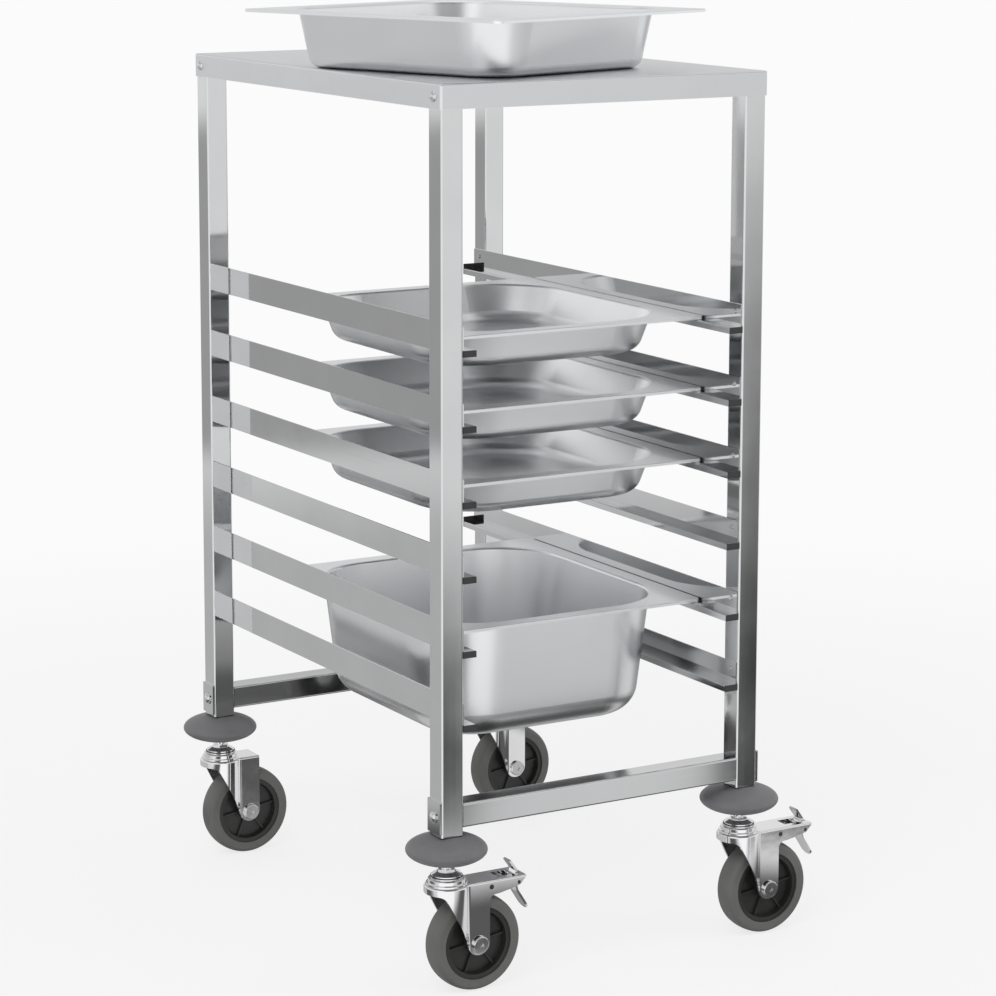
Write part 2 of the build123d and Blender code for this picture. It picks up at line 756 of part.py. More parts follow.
def make_tyre(corner):
    """Rubber tread with a low crown, bonded round the hub."""
    x, y = corner_place(corner)
    axle_line = Axis((x + wheel_trail, y, axle_height), (0, 1, 0))
    with BuildPart() as tyre:
        with BuildSketch(wheel_section(corner)) as section:
            with BuildLine() as outline:
                Line((wheel_half_width, hub_radius), (-wheel_half_width, hub_radius))
                Line((-wheel_half_width, hub_radius), (-wheel_half_width, wheel_radius - tread_crown))
                ThreePointArc(
                    (-wheel_half_width, wheel_radius - tread_crown),
                    (0, wheel_radius),
                    (wheel_half_width, wheel_radius - tread_crown),
                )
                Line((wheel_half_width, wheel_radius - tread_crown), (wheel_half_width, hub_radius))
            make_face()
            fillet(section.vertices().group_by(Axis.Y)[-1], tyre_shoulder_radius)
        revolve(axis=axle_line)
    tyre.part.label = f"tyre_{corner}"
    export_step(tyre.part, f"parts/tyre_{corner}.step")


def make_brake_lever(corner):
    """Bent lever on its pin: release tab above, foot tongue below, nose under the shoe."""
    x, y = corner_place(corner)
    side_view = Plane(origin=(x, y, 0), x_dir=(1, 0, 0), z_dir=(0, -1, 0))
    with BuildPart() as brake_lever:
        with BuildSketch(side_view) as upper:
            with BuildLine() as tab_line:
                Polyline(lever_pivot, tab_bend, tab_tip)
            trace(line_width=lever_sheet)
            with BuildLine() as nose_line:
                Polyline(lever_pivot, nose_tip)
            trace(line_width=lever_sheet)
            with Locations(lever_pivot):
                Circle(lever_boss_radius)
        extrude(amount=lever_half_width, both=True)
        with BuildSketch(side_view) as lower:
            with BuildLine() as tongue_line:
                Polyline(lever_pivot, tongue_bend, tongue_tip)
            trace(line_width=lever_sheet)
        extrude(amount=tongue_half_width, both=True)
        with BuildSketch(side_view) as bore:
            with Locations(lever_pivot):
                Circle(lever_pin_radius + axle_clearance)
        extrude(amount=2 * tongue_half_width, both=True, mode=Mode.SUBTRACT)
        tip_edges = brake_lever.edges().filter_by(lambda edge: edge.center().Z < tongue_bend[1])
        tip_corners = tip_edges.filter_by(lambda edge: abs(edge.length - lever_sheet) < 0.01)
        fillet(tip_corners, tongue_half_width - lever_sheet / 2)
    brake_lever.part.label = f"brake_lever_{corner}"
    export_step(brake_lever.part, f"parts/brake_lever_{corner}.step")


def make_brake_pins(corner):
    """Pins of the lever and of the shoe, across the brake channel."""
    x, y = corner_place(corner)
    side_view = Plane(origin=(x, y, 0), x_dir=(1, 0, 0), z_dir=(0, -1, 0))
    with BuildPart() as brake_pins:
        with BuildSketch(side_view) as sections:
            with Locations(lever_pivot):
                Circle(lever_pin_radius)
            with Locations(shoe_pivot):
                Circle(shoe_pin_radius)
        extrude(amount=fork_leg_half_width - pin_recess, both=True)
    brake_pins.part.label = f"brake_pins_{corner}"
    export_step(brake_pins.part, f"parts/brake_pins_{corner}.step")


def make_brake_shoe(corner):
    """Rocker in the channel whose pad bears on the tread and whose tail lies over the nose."""
    x, y = corner_place(corner)
    side_view = Plane(origin=(x, y, 0), x_dir=(1, 0, 0), z_dir=(0, -1, 0))
    pad_radius = wheel_radius + shoe_gap
    with BuildPart() as brake_shoe:
        with BuildSketch(side_view) as section:
            with BuildLine() as pad_line:
                CenterArc(
                    (wheel_trail, axle_height),
                    pad_radius + shoe_sheet / 2,
                    math.degrees(math.acos((shoe_pad_end - wheel_trail) / pad_radius)),
                    shoe_pad_angle,
                )
            trace(line_width=shoe_sheet)
            with BuildLine() as arm_line:
                Polyline(pad_line.line @ 0, shoe_pivot)
            trace(line_width=shoe_sheet)
            with BuildLine() as tail_line:
                Polyline(shoe_pivot, (shoe_tail_end, shoe_pivot[1]))
            trace(line_width=shoe_sheet)
            with Locations(shoe_pivot):
                Circle(shoe_boss_radius)
                Circle(shoe_pin_radius + axle_clearance, mode=Mode.SUBTRACT)
        extrude(amount=shoe_half_width, both=True)
    brake_shoe.part.label = f"brake_shoe_{corner}"
    export_step(brake_shoe.part, f"parts/brake_shoe_{corner}.step")


def make_pan(name, rim_plane, rim_width, corner_radius, depth, taper, bottom_radius):
    """Pressed pan with a lipped rim and a tapered body. The plane lies on the rim's top."""
    body_width = pan_width - 2 * rim_width
    body_length = pan_length - 2 * rim_width
    with BuildPart() as cavity:
        with BuildSketch(rim_plane) as opening:
            RectangleRounded(body_width, body_length, corner_radius)
        extrude(amount=-(depth - pan_sheet), taper=taper)
        fillet(cavity.faces().sort_by(Axis.Z)[0].edges(), bottom_radius)
    with BuildPart() as pan:
        with BuildSketch(rim_plane) as rim:
            RectangleRounded(pan_width, pan_length, pan_rim_corner_radius)
        extrude(amount=-pan_rim_lip)
        fillet(pan.faces().sort_by(Axis.Z)[-1].edges(), pan_rim_edge_radius)
        with BuildSketch(rim_plane.offset(-pan_sheet)) as rim_hollow:
            RectangleRounded(
                pan_width - 2 * pan_sheet,
                pan_length - 2 * pan_sheet,
                pan_rim_corner_radius - pan_sheet,
            )
        extrude(amount=-(pan_rim_lip - pan_sheet), mode=Mode.SUBTRACT)
        with BuildSketch(rim_plane) as body:
            RectangleRounded(
                body_width + 2 * pan_sheet,
                body_length + 2 * pan_sheet,
                corner_radius + pan_sheet,
            )
        extrude(amount=-depth, taper=taper)
        fillet(pan.faces().sort_by(Axis.Z)[0].edges(), bottom_radius + pan_sheet)
        underside = pan.faces().filter_by(Axis.Z).group_by(Axis.Z)[-2][0]
        fillet(underside.inner_wires()[0].edges(), pan_rim_bend_radius)
        add(cavity.part, mode=Mode.SUBTRACT)
        rim_top = pan.faces().filter_by(Axis.Z).sort_by(Axis.Z)[-1]
        fillet(rim_top.inner_wires()[0].edges(), pan_rim_bend_radius + pan_sheet)
    pan.part.label = name
    export_step(pan.part, f"parts/{name}.step")


def rail_pan_plane(level):
    """Plane on the rim of a pan that hangs on the rails of one level."""
    rim_height = ledge_top(level) + pan_seat_clearance + pan_rim_lip
    return Plane(origin=(frame_x, post_outer_y - rail_pan_back_gap - pan_length / 2, rim_height))


make_worktop()
make_cross_bar("front_cross_bar", -1)
make_cross_bar("rear_cross_bar", 1)
make_strap_plates()
for rail_side in (-1, 1):
    for rail_level in range(1, rail_levels + 1):
        make_rail(rail_side, rail_level)
make_rail_end_plugs()
make_rail_screws()
make_frame_bolts()
make_stem_sockets()
make_swivel_bearings()
for corner_name in corners:
    make_post(corner_name)
    make_bumper(corner_name)
    make_stem(corner_name)
    make_fork(corner_name)
    make_axle(corner_name)
    make_hub(corner_name)
    make_tyre(corner_name)
for corner_name in braked_corners:
    make_brake_lever(corner_name)
    make_brake_pins(corner_name)
    make_brake_shoe(corner_name)
for pan_level in shallow_pan_levels:
    make_pan(
        f"shallow_pan_{pan_level}",
        rail_pan_plane(pan_level),
        rail_pan_rim_width,
        rail_pan_corner_radius,
        shallow_pan_depth,
        shallow_pan_taper,
        shallow_pan_bottom_radius,
    )
make_pan(
    "deep_pan",
    rail_pan_plane(deep_pan_level),
    rail_pan_rim_width,
    rail_pan_corner_radius,
    deep_pan_depth,
    deep_pan_taper,
    deep_pan_bottom_radius,
)
loose_pan_plane = Plane(
    origin=(
        frame_x + loose_pan_aside,
        -loose_pan_forward,
        worktop_height + pan_seat_clearance + loose_pan_depth,
    ),
    x_dir=(math.cos(loose_turn), math.sin(loose_turn), 0),
    z_dir=(0, 0, 1),
)
make_pan(
    "loose_pan",
    loose_pan_plane,
    loose_pan_rim_width,
    loose_pan_corner_radius,
    loose_pan_depth,
    loose_pan_taper,
    loose_pan_bottom_radius,
)
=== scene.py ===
import math

import bmesh
import bpy
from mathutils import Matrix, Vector


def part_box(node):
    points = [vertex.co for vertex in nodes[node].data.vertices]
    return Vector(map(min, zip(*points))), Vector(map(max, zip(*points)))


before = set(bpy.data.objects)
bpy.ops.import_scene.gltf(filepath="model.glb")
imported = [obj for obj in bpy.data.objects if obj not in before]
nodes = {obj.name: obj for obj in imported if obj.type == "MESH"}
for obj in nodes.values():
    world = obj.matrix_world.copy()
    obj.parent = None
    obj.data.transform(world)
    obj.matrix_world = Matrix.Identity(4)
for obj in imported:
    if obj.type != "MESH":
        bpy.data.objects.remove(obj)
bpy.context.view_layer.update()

CORNERS = ("front_left", "front_right", "rear_left", "rear_right")
BRAKED = ("front_left", "front_right")
LEVELS = range(1, 7)
SIDES = ("left", "right")
CROSS_BARS = ("front_cross_bar", "rear_cross_bar")
PANS = ("shallow_pan_1", "shallow_pan_2", "shallow_pan_3", "deep_pan", "loose_pan")

# Camera, fitted to the photograph's view, in metres and degrees, with sensor and lens in millimetres
CAMERA_PLACE = (-1.71115, -2.95542, 1.13425)
CAMERA_TURN = -29.832
CAMERA_PITCH = 9.294
CAMERA_SENSOR = 36.0
CAMERA_LENS = 115.822
CAMERA_SHIFT_X = 0.0332
CAMERA_SHIFT_Y = -0.12

# Lamps: name, place, width and height in metres, and watts
LAMP_TARGET = (0.0, 0.0, 0.5)
LAMPS = (
    ("key", (-1.6, -1.3, 2.6), (1.6, 1.6), 22.0),
    ("fill", (2.2, -1.6, 1.7), (1.4, 1.4), 10.0),
)

# Background and floor: brightness, and reaches in metres from the middle of the object
WHITE = (1.0, 1.0, 1.0)
BACKDROP_WHITE = 0.965
WORLD_LIGHT = 0.66
FLOOR_PAINT = (0.93, 0.93, 0.93)
FLOOR_RADIUS = 60.0
FLOOR_CORNERS = 96
FLOOR_LIT_SHARE = 0.20
FLOOR_SHADE_REACH = (0.7, 2.2)

# Painted shade: in polished metal, a dark ring lies on the floor round the casters, a dark glow that
# stands in for the object's shadow there
PAINTED_SHADE_RING_START = (0.36, 0.42)
PAINTED_SHADE_RING_END = (0.50, 0.62)
PAINTED_SHADE_RING = 0.12

# What polished metal sees of the studio: brightness by height over the horizon, in degrees
LOWEST_RISE = -90.0
HIGHEST_RISE = 90.0
STUDIO_BY_RISE = (
    (-90.0, 0.03),
    (-58.0, 0.03),
    (-51.0, 0.25),
    (-45.0, 0.78),
    (-32.0, 0.60),
    (-22.0, 0.74),
    (-12.0, 0.95),
    (0.0, 1.00),
    (6.0, 1.00),
    (22.0, 0.85),
    (34.0, 0.50),
    (48.0, 0.90),
    (90.0, 1.00),
)

# Panels in it, in degrees: turn from the front to +X, softness, rise, softness low and high; brightness
STUDIO_PANELS = (
    # Behind on the left, for the left faces
    ((-180.0, -100.0), 8.0, (-90.0, -11.2), (1.5, 1.2), 0.60),
    ((-180.0, -100.0), 8.0, (-10.6, -4.7), (0.35, 0.35), 0.45),
    # Behind on the right, for the tops
    ((100.0, 180.0), 8.0, (-40.0, -8.0), (3.0, 3.0), 0.30),
    ((100.0, 180.0), 8.0, (7.0, 15.5), (1.5, 1.5), 0.60),
    # In front on the right, for the lower ends of the posts
    ((20.0, 30.0), 0.28, (-17.4, -13.3), (0.8, 2.6), 0.11),
    ((34.55, 64.0), 0.45, (-17.2, -6.4), (0.6, 3.8), 0.27),
    ((34.55, 64.0), 0.45, (-17.2, -12.2), (0.6, 2.2), 0.06),
    # In front on the left, wide and bright
    ((-75.0, 12.0), 6.0, (-32.0, 30.0), (6.0, 6.0), 1.18),
    # High in front, dark, for the insides of the pans
    ((-40.0, 31.0), 9.0, (18.0, 50.0), (5.0, 5.0), 0.02),
)

# Input and output numbers of a Mix node by the kind of its data: first, second, result
MIX_SOCKETS = {"FLOAT": (2, 3, 0), "RGBA": (6, 7, 2)}

# Sharp edges show where the rounded normal leaves the true one, by the cosine between them
EDGE_COSINES = (0.995, 0.86)
EDGE_SAMPLES = 4

# Stretches of a noise that are spread over a whole tone or roughness
FAINT = (0.2, 0.8)
MILD = (0.25, 0.75)
CLEAR = (0.3, 0.7)
STRONG = (0.35, 0.65)

# Noises: scale per metre, or one for each axis, then detail and roughness
SHEET_CLOUDS = (11.0, 4.0, 0.55)
GRAIN_ALONG = 6.0
GRAIN_ACROSS = 900.0
GRAIN_TEXTURE = (4.0, 0.6)
SCRATCH_COARSER = 0.35
SCRATCH_TEXTURE = (2.0, 0.5)
PAN_CLOUDS = (9.0, 2.0, 0.5)
PAN_WAVES = (12.0, 0.0, 0.0)
PAN_RUBS = ((30.0, 30.0, 220.0), 2.0, 0.5)
CHROME_CLOUDS = (45.0, 4.0, 0.6)
CHROME_RIPPLE = (90.0, 1.0, 0.4)
CHROME_PITS = (900.0, 1.0, 0.4)
MOULDED_CLOUDS = (28.0, 4.0, 0.6)
MOULDED_GRAIN_TEXTURE = (3.0, 0.55)
BEARING_CLOUDS = (60.0, 3.0, 0.5)

# Parts of a noise that turn into marks
SCRATCHED = (0.70, 0.76)
RUBBED = (0.55, 0.80)
PITTED = (0.76, 0.80)

# What the marks and the grain add to the roughness
GRAIN_ROUGHNESS = 0.02
SCRATCH_ROUGHNESS = 0.03
RUB_ROUGHNESS = 0.03
PIT_ROUGHNESS = 0.10

# Depths of the relief in metres, and of marks as a share of the relief
PAN_WAVE_DEPTH = 0.0002
CHROME_DEPTH = 0.000012
BEARING_DEPTH = 0.00001
SCRATCH_DEPTH_SHARE = 0.8
PIT_DEPTH_SHARE = 0.3

# Widths of the worn edges in metres, how much brighter they are in metal, and how far rubber is scuffed
SHEET_EDGE = 0.0006
PAN_EDGE = 0.0008
CHROME_EDGE = 0.0004
MOULDED_EDGE = 0.0008
SHEET_EDGE_GAIN = 1.12
PAN_EDGE_GAIN = 1.10
MOULDED_EDGE_WEAR = (0.2, 0.9)

# The swivel bearing: its bright ring turns to a rubber lip just below its top, in metres
LIP_BELOW_TOP = (0.0012, 0.0009)
BEARING_RUBBER = (0.018, 0.018, 0.018)
BEARING_METAL = (0.74, 0.74, 0.75)
BEARING_ROUGHNESS = (0.10, 0.55)
RUBBER_WEAR_GAIN = 1.6
METAL_WEAR_GAIN = 0.92

# Sheet and tube: dark tone, light tone, roughness, axis of the grain, depth of the grain in metres
POLISHED = ((0.60, 0.605, 0.61), (0.65, 0.655, 0.66))
SHEETS = {
    "worktop_steel": ((0.68, 0.687, 0.70), (0.73, 0.738, 0.752), (0.30, 0.36), "Y", 0.000006),
    "post_steel": (*POLISHED, (0.035, 0.06), "Z", 0.0000006),
    "bar_steel": (*POLISHED, (0.045, 0.08), "X", 0.0000008),
    "rail_steel": (*POLISHED, (0.035, 0.07), "Y", 0.0000008),
}

# Pans: dark tone, light tone, roughness
PAN_STEEL = ((0.80, 0.81, 0.822), (0.85, 0.86, 0.872), (0.285, 0.315))

# Bright steel: dark tone, light tone, roughness
CHROMES = {
    "fastener_steel": ((0.55, 0.55, 0.56), (0.72, 0.72, 0.73), (0.10, 0.22)),
    "pin_steel": ((0.07, 0.07, 0.07), (0.12, 0.12, 0.12), (0.30, 0.45)),
    "caster_chrome": ((0.74, 0.74, 0.75), (0.80, 0.80, 0.81), (0.03, 0.06)),
}

# Rubber and plastic: dark tone, light tone, scuffed tone, roughness, scale and depth of the grain
MOULDINGS = {
    "plug_plastic": (
        (0.030, 0.030, 0.031), (0.040, 0.040, 0.041), (0.07, 0.07, 0.07), (0.55, 0.70), 1400.0, 0.00001
    ),
    "bumper_rubber": (
        (0.155, 0.155, 0.162), (0.190, 0.190, 0.197), (0.20, 0.20, 0.20), (0.42, 0.58), 1100.0, 0.00003
    ),
    "tyre_rubber": (
        (0.120, 0.120, 0.115), (0.152, 0.152, 0.146), (0.17, 0.17, 0.17), (0.50, 0.66), 800.0, 0.00005
    ),
    "hub_plastic": (
        (0.018, 0.018, 0.017), (0.028, 0.028, 0.026), (0.035, 0.035, 0.035), (0.34, 0.46), 1000.0, 0.00001
    ),
}


def fill_sockets(tree, node, sockets):
    """Sets each input to its value, or links it to its output."""
    for name, value in sockets.items():
        if isinstance(value, bpy.types.NodeSocket):
            tree.links.new(value, node.inputs[name])
        else:
            node.inputs[name].default_value = value


def add_node(tree, kind, settings=None, sockets=None):
    """New shader node with its settings and its inputs."""
    made = tree.nodes.new(kind)
    for name, value in (settings or {}).items():
        setattr(made, name, value)
    fill_sockets(tree, made, sockets or {})
    return made


def math_node(tree, operation, *values):
    """Output of one Math node on values or outputs."""
    made = add_node(tree, "ShaderNodeMath", {"operation": operation}, dict(enumerate(values)))
    return made.outputs[0]


def map_range(tree, value, source, target, smooth=False):
    """Value mapped from the source range to the target range, and clamped there."""
    made = add_node(
        tree,
        "ShaderNodeMapRange",
        {"interpolation_type": "SMOOTHSTEP" if smooth else "LINEAR"},
        {
            "Value": value,
            "From Min": source[0],
            "From Max": source[1],
            "To Min": target[0],
            "To Max": target[1],
        },
    )
    return made.outputs["Result"]


def share(tree, value, limits, smooth=False):
    """0 at the first of two limits of a value and 1 at the second."""
    return map_range(tree, value, limits, (0.0, 1.0), smooth)


def object_place(tree):
    """The point in the piece's own space, in metres."""
    return add_node(tree, "ShaderNodeTexCoord").outputs["Object"]


def noise(tree, scale, detail, roughness):
    """Noise over the piece's own space, from 0 to 1. Its scale is one number, or one for each axis."""
    place = object_place(tree)
    if isinstance(scale, tuple):
        stretched = add_node(tree, "ShaderNodeMapping", {}, {"Vector": place, "Scale": scale})
        place = stretched.outputs["Vector"]
        scale = 1.0
    made = add_node(
        tree,
        "ShaderNodeTexNoise",
        {},
        {"Vector": place, "Scale": scale, "Detail": detail, "Roughness": roughness},
    )
    return made.outputs["Fac"]


def mix(tree, kind, second_share, first, second):
    """Two inputs of one kind of data, mixed."""
    first_input, second_input, result = MIX_SOCKETS[kind]
    sockets = {0: second_share, first_input: first, second_input: second}
    return add_node(tree, "ShaderNodeMix", {"data_type": kind}, sockets).outputs[result]


def mix_value(tree, second_share, first, second):
    """Two numbers mixed by the share of the second."""
    return mix(tree, "FLOAT", second_share, first, second)


def opaque(colour):
    """A colour with its alpha, or an output as it is."""
    return (*colour, 1.0) if isinstance(colour, tuple) else colour


def mix_colour(tree, second_share, first, second):
    """Two colours mixed by the share of the second."""
    return mix(tree, "RGBA", second_share, opaque(first), opaque(second))


def scaled(colour, gain):
    """A colour made brighter or darker, up to white."""
    return tuple(min(1.0, value * gain) for value in colour)


def bump(tree, height, depth):
    """Surface normal bent by a height field, whose depth is in metres."""
    return add_node(tree, "ShaderNodeBump", {}, {"Height": height, "Distance": depth}).outputs["Normal"]


def edge_share(tree, radius):
    """1 along the piece's sharp edges and 0 on its flats."""
    rounded = add_node(tree, "ShaderNodeBevel", {"samples": EDGE_SAMPLES}, {"Radius": radius})
    true = add_node(tree, "ShaderNodeNewGeometry").outputs["True Normal"]
    cosine = add_node(
        tree,
        "ShaderNodeVectorMath",
        {"operation": "DOT_PRODUCT"},
        {0: rounded.outputs["Normal"], 1: true},
    )
    return share(tree, cosine.outputs["Value"], EDGE_COSINES)


def bare_material(name):
    """Node material without nodes. Returns the material and its tree."""
    material = bpy.data.materials.new(name)
    material.use_nodes = True
    material.node_tree.nodes.clear()
    return material, material.node_tree


def principled(name):
    """Node material with a Principled shader. Returns the material, its tree and the shader."""
    material, tree = bare_material(name)
    shader = add_node(tree, "ShaderNodeBsdfPrincipled")
    add_node(tree, "ShaderNodeOutputMaterial", {}, {"Surface": shader.outputs["BSDF"]})
    return material, tree, shader


def sheet(name, dark, light, rough, grain_axis, grain_depth):
    """Stainless sheet: fine grain along one axis, cloudy polish, thin scratches and bright edges."""
    material, tree, shader = principled(name)
    grain_scale = tuple(GRAIN_ALONG if axis == grain_axis else GRAIN_ACROSS for axis in "XYZ")
    scratch_scale = tuple(scale * SCRATCH_COARSER for scale in grain_scale)
    grain = noise(tree, grain_scale, *GRAIN_TEXTURE)
    clouds = noise(tree, *SHEET_CLOUDS)
    scratches = share(tree, noise(tree, scratch_scale, *SCRATCH_TEXTURE), SCRATCHED)
    grained = math_node(tree, "MULTIPLY_ADD", grain, GRAIN_ROUGHNESS, -0.5 * GRAIN_ROUGHNESS)
    polished = math_node(tree, "ADD", map_range(tree, clouds, CLEAR, rough), grained)
    tone = mix_colour(tree, share(tree, clouds, MILD), dark, light)
    edges = edge_share(tree, SHEET_EDGE)
    scratch_depth = math_node(tree, "MULTIPLY", scratches, SCRATCH_DEPTH_SHARE)
    relief = math_node(tree, "SUBTRACT", grain, scratch_depth)
    fill_sockets(
        tree,
        shader,
        {
            "Base Color": mix_colour(tree, edges, tone, scaled(light, SHEET_EDGE_GAIN)),
            "Metallic": 1.0,
            "Roughness": math_node(tree, "MULTIPLY_ADD", scratches, SCRATCH_ROUGHNESS, polished),
            "Normal": bump(tree, relief, grain_depth),
        },
    )
    return material


def pressed_sheet(name, dark, light, rough):
    """Deep-drawn sheet: an even satin with faint clouds and waves, small rub marks and bright edges."""
    material, tree, shader = principled(name)
    clouds = share(tree, noise(tree, *PAN_CLOUDS), FAINT, smooth=True)
    rubs = map_range(tree, noise(tree, *PAN_RUBS), RUBBED, (0.0, RUB_ROUGHNESS), smooth=True)
    tone = mix_colour(tree, clouds, dark, light)
    edges = edge_share(tree, PAN_EDGE)
    fill_sockets(
        tree,
        shader,
        {
            "Base Color": mix_colour(tree, edges, tone, scaled(light, PAN_EDGE_GAIN)),
            "Metallic": 1.0,
            "Roughness": math_node(tree, "ADD", map_range(tree, clouds, (0.0, 1.0), rough), rubs),
            "Normal": bump(tree, noise(tree, *PAN_WAVES), PAN_WAVE_DEPTH),
        },
    )
    return material


def chrome(name, dark, light, rough):
    """Bright steel: smooth, with faint ripples, dulled patches, fine pits and bright edges."""
    material, tree, shader = principled(name)
    clouds = noise(tree, *CHROME_CLOUDS)
    pits = share(tree, noise(tree, *CHROME_PITS), PITTED)
    pit_depth = math_node(tree, "MULTIPLY", pits, PIT_DEPTH_SHARE)
    relief = math_node(tree, "SUBTRACT", noise(tree, *CHROME_RIPPLE), pit_depth)
    lightest = math_node(tree, "MAXIMUM", edge_share(tree, CHROME_EDGE), clouds)
    dulled = map_range(tree, clouds, CLEAR, rough)
    fill_sockets(
        tree,
        shader,
        {
            "Base Color": mix_colour(tree, lightest, dark, light),
            "Metallic": 1.0,
            "Roughness": math_node(tree, "MULTIPLY_ADD", pits, PIT_ROUGHNESS, dulled),
            "Normal": bump(tree, relief, CHROME_DEPTH),
        },
    )
    return material


def moulding(name, dark, light, scuffed, rough, grain_scale, grain_depth):
    """Rubber or plastic: a fine moulded grain, uneven tone and polish, and edges scuffed lighter."""
    material, tree, shader = principled(name)
    clouds = noise(tree, *MOULDED_CLOUDS)
    wear = map_range(tree, clouds, STRONG, MOULDED_EDGE_WEAR)
    scuffs = math_node(tree, "MULTIPLY", edge_share(tree, MOULDED_EDGE), wear)
    tone = mix_colour(tree, share(tree, clouds, CLEAR), dark, light)
    grain = noise(tree, grain_scale, *MOULDED_GRAIN_TEXTURE)
    fill_sockets(
        tree,
        shader,
        {
            "Base Color": mix_colour(tree, scuffs, tone, scuffed),
            "Roughness": map_range(tree, clouds, CLEAR, rough),
            "Normal": bump(tree, grain, grain_depth),
        },
    )
    return material


def bearing_finish(name):
    """Bright ring of the swivel bearing with a thin rubber lip on top."""
    material, tree, shader = principled(name)
    _, highest_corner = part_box("swivel_bearings")
    lip_heights = tuple(highest_corner[2] - below for below in LIP_BELOW_TOP)
    height = add_node(tree, "ShaderNodeSeparateXYZ", {}, {"Vector": object_place(tree)}).outputs["Z"]
    lip = share(tree, height, lip_heights)
    clouds = noise(tree, *BEARING_CLOUDS)
    wear = share(tree, clouds, CLEAR)
    metal = mix_colour(tree, wear, BEARING_METAL, scaled(BEARING_METAL, METAL_WEAR_GAIN))
    rubber = mix_colour(tree, wear, BEARING_RUBBER, scaled(BEARING_RUBBER, RUBBER_WEAR_GAIN))
    fill_sockets(
        tree,
        shader,
        {
            "Base Color": mix_colour(tree, lip, metal, rubber),
            "Metallic": math_node(tree, "SUBTRACT", 1.0, lip),
            "Roughness": map_range(tree, lip, (0.0, 1.0), BEARING_ROUGHNESS),
            "Normal": bump(tree, clouds, BEARING_DEPTH),
        },
    )
    return material


def make_finishes():
    """Every finish by its name."""
    finishes = {name: sheet(name, *look) for name, look in SHEETS.items()}
    finishes |= {name: chrome(name, *look) for name, look in CHROMES.items()}
    finishes |= {name: moulding(name, *look) for name, look in MOULDINGS.items()}
    finishes["pan_steel"] = pressed_sheet("pan_steel", *PAN_STEEL)
    finishes["bearing"] = bearing_finish("bearing")
    return finishes


def node_finishes():
    """Name of the finish of each CAD node."""
    finish_of = {
        "worktop": "worktop_steel",
        "strap_plates": "post_steel",
        "rail_end_plugs": "plug_plastic",
        "stem_sockets": "plug_plastic",
        "rail_screws": "fastener_steel",
        "frame_bolts": "fastener_steel",
        "swivel_bearings": "bearing",
    }
    finish_of |= {bar: "bar_steel" for bar in CROSS_BARS}
    finish_of |= {pan: "pan_steel" for pan in PANS}
    finish_of |= {f"rail_{side}_{level}": "rail_steel" for side in SIDES for level in LEVELS}
    for corner in CORNERS:
        finish_of[f"post_{corner}"] = "post_steel"
        finish_of[f"bumper_{corner}"] = "bumper_rubber"
        finish_of[f"stem_{corner}"] = "caster_chrome"
        finish_of[f"fork_{corner}"] = "caster_chrome"
        finish_of[f"axle_{corner}"] = "fastener_steel"
        finish_of[f"hub_{corner}"] = "hub_plastic"
        finish_of[f"tyre_{corner}"] = "tyre_rubber"
    for corner in BRAKED:
        finish_of[f"brake_lever_{corner}"] = "caster_chrome"
        finish_of[f"brake_pins_{corner}"] = "pin_steel"
        finish_of[f"brake_shoe_{corner}"] = "fastener_steel"
    return finish_of


def paint_nodes():
    """Gives each CAD node its finish."""
    finishes = make_finishes()
    for node, finish in node_finishes().items():
        materials = nodes[node].data.materials
        materials.clear()
        materials.append(finishes[finish])


def make_camera():
    """Camera at the photograph's viewing angle."""
    data = bpy.data.cameras.new("camera")
    data.sensor_width = CAMERA_SENSOR
    data.lens = CAMERA_LENS
    data.shift_x = CAMERA_SHIFT_X
    data.shift_y = CAMERA_SHIFT_Y
    camera = bpy.data.objects.new("camera", data)
    camera.location = CAMERA_PLACE
    camera.rotation_euler = (math.radians(90.0 - CAMERA_PITCH), 0.0, math.radians(CAMERA_TURN))
    bpy.context.scene.collection.objects.link(camera)
    bpy.context.scene.camera = camera


def make_lamp(name, place, size, watts):
    """Soft lamp that faces the object and that no metal mirrors."""
    data = bpy.data.lights.new(name, "AREA")
    data.shape = "RECTANGLE"
    data.size, data.size_y = size
    data.energy = watts
    lamp = bpy.data.objects.new(name, data)
    lamp.location = place
    lamp.rotation_euler = (Vector(LAMP_TARGET) - Vector(place)).to_track_quat("-Z", "Y").to_euler()
    lamp.visible_glossy = False
    bpy.context.scene.collection.objects.link(lamp)


def seen_rays(tree):
    """1 for rays from the camera or sent on by metal or glass, and 1 for the latter alone."""
    path = add_node(tree, "ShaderNodeLightPath").outputs
    mirrored = math_node(tree, "MAXIMUM", path["Is Glossy Ray"], path["Is Transmission Ray"])
    return math_node(tree, "MAXIMUM", path["Is Camera Ray"], mirrored), mirrored


def set_ramp(ramp, stops):
    """Grey stops of a colour ramp."""
    for place, _ in stops[len(ramp.elements):]:
        ramp.elements.new(place)
    for element, (place, value) in zip(ramp.elements, stops):
        element.position = place
        element.color = (value, value, value, 1.0)


def between(tree, value, limits, softness):
    """1 where a value lies between two limits, with a smooth step of a given width at each."""
    low, high = limits
    low_soft, high_soft = softness
    rising = share(tree, value, (low - low_soft, low + low_soft), smooth=True)
    falling = map_range(tree, value, (high - high_soft, high + high_soft), (1.0, 0.0), smooth=True)
    return math_node(tree, "MULTIPLY", rising, falling)


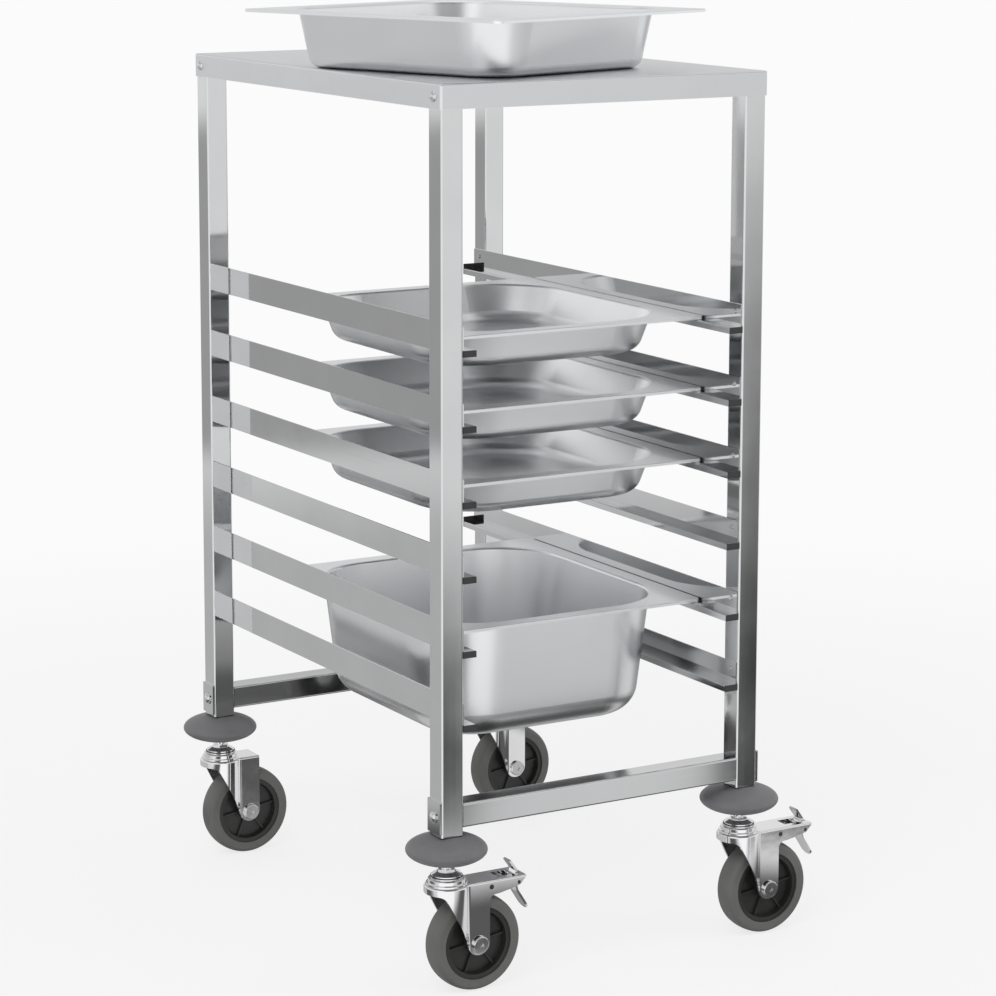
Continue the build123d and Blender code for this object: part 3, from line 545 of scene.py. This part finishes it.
def mirrored_studio(tree):
    """Brightness of what polished metal sees: grey bands by height, with soft panels in them."""
    direction = add_node(tree, "ShaderNodeTexCoord").outputs["Generated"]
    parts = add_node(tree, "ShaderNodeSeparateXYZ", {}, {"Vector": direction}).outputs
    backward = math_node(tree, "MULTIPLY", parts["Y"], -1.0)
    turn = math_node(tree, "DEGREES", math_node(tree, "ARCTAN2", parts["X"], backward))
    rise = math_node(tree, "DEGREES", math_node(tree, "ARCSINE", parts["Z"]))
    rise_share = share(tree, rise, (LOWEST_RISE, HIGHEST_RISE))
    by_rise = add_node(tree, "ShaderNodeValToRGB", {}, {"Fac": rise_share})
    rise_span = HIGHEST_RISE - LOWEST_RISE
    stops = [((degrees - LOWEST_RISE) / rise_span, value) for degrees, value in STUDIO_BY_RISE]
    set_ramp(by_rise.color_ramp, stops)
    studio = by_rise.outputs["Color"]
    for turns, turn_soft, rises, rise_soft, value in STUDIO_PANELS:
        in_turn = between(tree, turn, turns, (turn_soft, turn_soft))
        in_rise = between(tree, rise, rises, rise_soft)
        studio = mix_value(tree, math_node(tree, "MULTIPLY", in_turn, in_rise), studio, value)
    return studio


def make_world():
    """White studio, which lights evenly, and in which metal sees a dark ground and soft panels."""
    world = bpy.data.worlds.new("studio")
    bpy.context.scene.world = world
    world.use_nodes = True
    tree = world.node_tree
    tree.nodes.clear()
    seen, mirrored = seen_rays(tree)
    backdrop = mix_value(tree, mirrored, BACKDROP_WHITE, mirrored_studio(tree))
    light = mix_value(tree, seen, WORLD_LIGHT, backdrop)
    background = add_node(tree, "ShaderNodeBackground", {}, {"Color": opaque(WHITE), "Strength": light})
    add_node(tree, "ShaderNodeOutputWorld", {}, {"Surface": background.outputs["Background"]})


def glow(tree, strength):
    """Shader that glows white."""
    made = add_node(tree, "ShaderNodeEmission", {}, {"Color": opaque(WHITE), "Strength": strength})
    return made.outputs["Emission"]


def mix_shaders(tree, second_share, first, second):
    """Two shaders mixed by the share of the second."""
    made = add_node(tree, "ShaderNodeMixShader", {}, {0: second_share, 1: first, 2: second})
    return made.outputs["Shader"]


def floor_finish():
    """Pale paint that glows as white as the backdrop further out. Metal sees only a dark ring on it,
    painted shade round the casters.
    """
    material, tree = bare_material("floor")
    place = add_node(tree, "ShaderNodeNewGeometry").outputs["Position"]
    reach = add_node(tree, "ShaderNodeVectorMath", {"operation": "LENGTH"}, {0: place}).outputs["Value"]
    glowing = map_range(tree, reach, FLOOR_SHADE_REACH, (1.0 - FLOOR_LIT_SHARE, 1.0), smooth=True)
    seen, mirrored = seen_rays(tree)
    paint = add_node(tree, "ShaderNodeBsdfDiffuse", {}, {"Color": opaque(FLOOR_PAINT)}).outputs["BSDF"]
    glow_share = math_node(tree, "MULTIPLY", seen, glowing)
    shown = mix_shaders(tree, glow_share, paint, glow(tree, BACKDROP_WHITE))
    # Painted shade: a dark glow round the casters that only metal mirrors, in place of the object's
    # shadow on the floor
    started = share(tree, reach, PAINTED_SHADE_RING_START, smooth=True)
    lasting = map_range(tree, reach, PAINTED_SHADE_RING_END, (1.0, 0.0), smooth=True)
    in_shade_ring = math_node(tree, "MULTIPLY", started, lasting)
    clear = add_node(tree, "ShaderNodeBsdfTransparent").outputs["BSDF"]
    shade_in_metal = mix_shaders(tree, in_shade_ring, clear, glow(tree, PAINTED_SHADE_RING))
    either = mix_shaders(tree, mirrored, shown, shade_in_metal)
    add_node(tree, "ShaderNodeOutputMaterial", {}, {"Surface": either})
    return material


def make_floor():
    """Floor that keeps the shadow near the object."""
    mesh = bpy.data.meshes.new("floor")
    shape = bmesh.new()
    bmesh.ops.create_circle(shape, cap_ends=True, radius=FLOOR_RADIUS, segments=FLOOR_CORNERS)
    shape.to_mesh(mesh)
    shape.free()
    mesh.materials.append(floor_finish())
    floor = bpy.data.objects.new("floor", mesh)
    bpy.context.scene.collection.objects.link(floor)


bpy.context.scene.view_settings.view_transform = "Standard"
make_camera()
make_world()
make_floor()
for lamp in LAMPS:
    make_lamp(*lamp)
paint_nodes()
